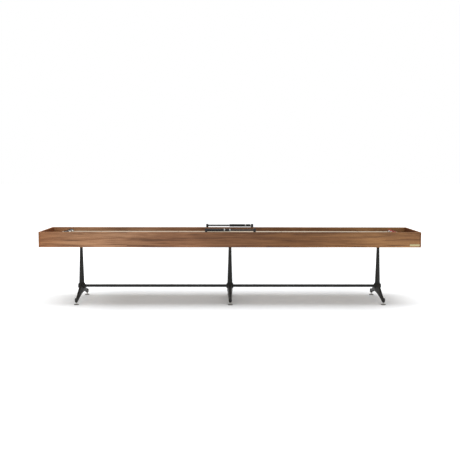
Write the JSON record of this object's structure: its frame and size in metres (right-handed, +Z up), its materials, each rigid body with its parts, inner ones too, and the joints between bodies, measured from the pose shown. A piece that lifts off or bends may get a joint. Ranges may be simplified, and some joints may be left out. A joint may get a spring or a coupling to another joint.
{
  "type": "shuffleboard table",
  "caption": "Long walnut shuffleboard table with a sunken pale playfield and gutters, bead scorers on the rails and cast black pedestals joined by stretcher tubes.",
  "frame": {"origin": "on the floor, under the middle of the table", "axes": "+X along the table to its right end, +Y to the rear rail, +Z up"},
  "size_m": [4.267, 0.756, 0.86],
  "materials": {
    "walnut": "oiled walnut, satin",
    "plywood": "unfinished plywood",
    "maple_core": "laminated maple",
    "play_coat": "clear poured coat over pale maple",
    "lining": "dark brown needle felt",
    "black_iron": "black powder coat",
    "black_steel": "black powder coat",
    "zinc_steel": "zinc plated",
    "leveller": "plated stud and dark pad",
    "plate_brass": "satin, blank",
    "post_black": "satin black",
    "rod_steel": "dark satin",
    "bead_black": "gloss black",
    "bead_silver": "satin",
    "puck_steel": "polished",
    "cap_black": "gloss",
    "cap_red": "gloss"
  },
  "bodies": {
    "table": {"adjuster_brackets": "zinc_steel", "adjuster_rods": "zinc_steel", "cabinet_floor": "plywood", "corner_blocks": "plywood", "front_rail": "walnut", "front_scorer_posts": "post_black", "front_scorer_rod": "rod_steel", "gutter_lining": "lining", "left_end_board": "walnut", "left_leg_casting": "black_iron", "left_stem": "black_iron", "left_stretcher": "black_steel", "middle_leg_casting": "black_iron", "middle_stem": "black_iron", "name_plate": "plate_brass", "plate_screws": "zinc_steel", "playfield_coat": "play_coat", "playfield_core": "maple_core", "playfield_supports": "plywood", "rear_rail": "walnut", "rear_scorer_posts": "post_black", "rear_scorer_rod": "rod_steel", "right_end_board": "walnut", "right_leg_casting": "black_iron", "right_stem": "black_iron", "right_stretcher": "black_steel", "scorer_screws": "zinc_steel", "socket_screws": "zinc_steel", "tie_rods": "zinc_steel", "top_plates": "black_steel"},
    "black_puck_1": {"black_puck_1_cap": "cap_black", "black_puck_1_weight": "puck_steel"},
    "black_puck_2": {"black_puck_2_cap": "cap_black", "black_puck_2_weight": "puck_steel"},
    "black_puck_3": {"black_puck_3_cap": "cap_black", "black_puck_3_weight": "puck_steel"},
    "black_puck_4": {"black_puck_4_cap": "cap_black", "black_puck_4_weight": "puck_steel"},
    "front_beads_16": {"front_beads_16": "bead_silver"},
    "front_beads_17_to_20": {"front_beads_17_to_20": "bead_black"},
    "front_beads_1_to_15": {"front_beads_1_to_15": "bead_black"},
    "front_beads_21": {"front_beads_21": "bead_silver"},
    "left_front_leveller": {"left_front_leveller": "leveller"},
    "left_rear_leveller": {"left_rear_leveller": "leveller"},
    "middle_front_leveller": {"middle_front_leveller": "leveller"},
    "middle_rear_leveller": {"middle_rear_leveller": "leveller"},
    "rear_beads_16": {"rear_beads_16": "bead_silver"},
    "rear_beads_17_to_20": {"rear_beads_17_to_20": "bead_black"},
    "rear_beads_1_to_15": {"rear_beads_1_to_15": "bead_black"},
    "rear_beads_21": {"rear_beads_21": "bead_silver"},
    "red_puck_1": {"red_puck_1_cap": "cap_red", "red_puck_1_weight": "puck_steel"},
    "red_puck_2": {"red_puck_2_cap": "cap_red", "red_puck_2_weight": "puck_steel"},
    "red_puck_3": {"red_puck_3_cap": "cap_red", "red_puck_3_weight": "puck_steel"},
    "red_puck_4": {"red_puck_4_cap": "cap_red", "red_puck_4_weight": "puck_steel"},
    "right_front_leveller": {"right_front_leveller": "leveller"},
    "right_rear_leveller": {"right_rear_leveller": "leveller"}
  },
  "joints": [
    {"name": "left_front_leveller_screw", "type": "slide", "parent": "table", "child": "left_front_leveller", "axis": [0, 0, 1], "range_m": [-0.012, 0.012]},
    {"name": "left_rear_leveller_screw", "type": "slide", "parent": "table", "child": "left_rear_leveller", "axis": [0, 0, 1], "range_m": [-0.012, 0.012]},
    {"name": "middle_front_leveller_screw", "type": "slide", "parent": "table", "child": "middle_front_leveller", "axis": [0, 0, 1], "range_m": [-0.012, 0.012]},
    {"name": "middle_rear_leveller_screw", "type": "slide", "parent": "table", "child": "middle_rear_leveller", "axis": [0, 0, 1], "range_m": [-0.012, 0.012]},
    {"name": "right_front_leveller_screw", "type": "slide", "parent": "table", "child": "right_front_leveller", "axis": [0, 0, 1], "range_m": [-0.012, 0.012]},
    {"name": "right_rear_leveller_screw", "type": "slide", "parent": "table", "child": "right_rear_leveller", "axis": [0, 0, 1], "range_m": [-0.012, 0.012]},
    {"name": "black_puck_1_run", "type": "slide", "parent": "table", "child": "black_puck_1", "axis": [1, 0, 0], "range_m": [-0.067, 3.823]},
    {"name": "black_puck_2_run", "type": "slide", "parent": "table", "child": "black_puck_2", "axis": [1, 0, 0], "range_m": [-0.067, 3.823]},
    {"name": "black_puck_3_run", "type": "slide", "parent": "table", "child": "black_puck_3", "axis": [1, 0, 0], "range_m": [-0.055, 3.835]},
    {"name": "black_puck_4_run", "type": "slide", "parent": "table", "child": "black_puck_4", "axis": [1, 0, 0], "range_m": [-0.08, 3.81]},
    {"name": "red_puck_1_run", "type": "slide", "parent": "table", "child": "red_puck_1", "axis": [-1, 0, 0], "range_m": [-0.05, 3.84]},
    {"name": "red_puck_2_run", "type": "slide", "parent": "table", "child": "red_puck_2", "axis": [-1, 0, 0], "range_m": [-0.055, 3.835]},
    {"name": "red_puck_3_run", "type": "slide", "parent": "table", "child": "red_puck_3", "axis": [-1, 0, 0], "range_m": [-0.06, 3.83]},
    {"name": "red_puck_4_run", "type": "slide", "parent": "table", "child": "red_puck_4", "axis": [-1, 0, 0], "range_m": [-0.065, 3.825]},
    {"name": "front_beads_1_to_15_slide", "type": "slide", "parent": "table", "child": "front_beads_1_to_15", "axis": [1, 0, 0], "range_m": [0, 0.063]},
    {"name": "front_beads_16_slide", "type": "slide", "parent": "front_beads_1_to_15", "child": "front_beads_16", "axis": [1, 0, 0], "range_m": [0, 0.063]},
    {"name": "front_beads_17_to_20_slide", "type": "slide", "parent": "front_beads_16", "child": "front_beads_17_to_20", "axis": [1, 0, 0], "range_m": [0, 0.063]},
    {"name": "front_beads_21_slide", "type": "slide", "parent": "front_beads_17_to_20", "child": "front_beads_21", "axis": [1, 0, 0], "range_m": [0, 0.063]},
    {"name": "rear_beads_21_slide", "type": "slide", "parent": "table", "child": "rear_beads_21", "axis": [-1, 0, 0], "range_m": [0, 0.063]},
    {"name": "rear_beads_17_to_20_slide", "type": "slide", "parent": "rear_beads_21", "child": "rear_beads_17_to_20", "axis": [-1, 0, 0], "range_m": [0, 0.063]},
    {"name": "rear_beads_16_slide", "type": "slide", "parent": "rear_beads_17_to_20", "child": "rear_beads_16", "axis": [-1, 0, 0], "range_m": [0, 0.063]},
    {"name": "rear_beads_1_to_15_slide", "type": "slide", "parent": "rear_beads_16", "child": "rear_beads_1_to_15", "axis": [-1, 0, 0], "range_m": [0, 0.063]}
  ]
}
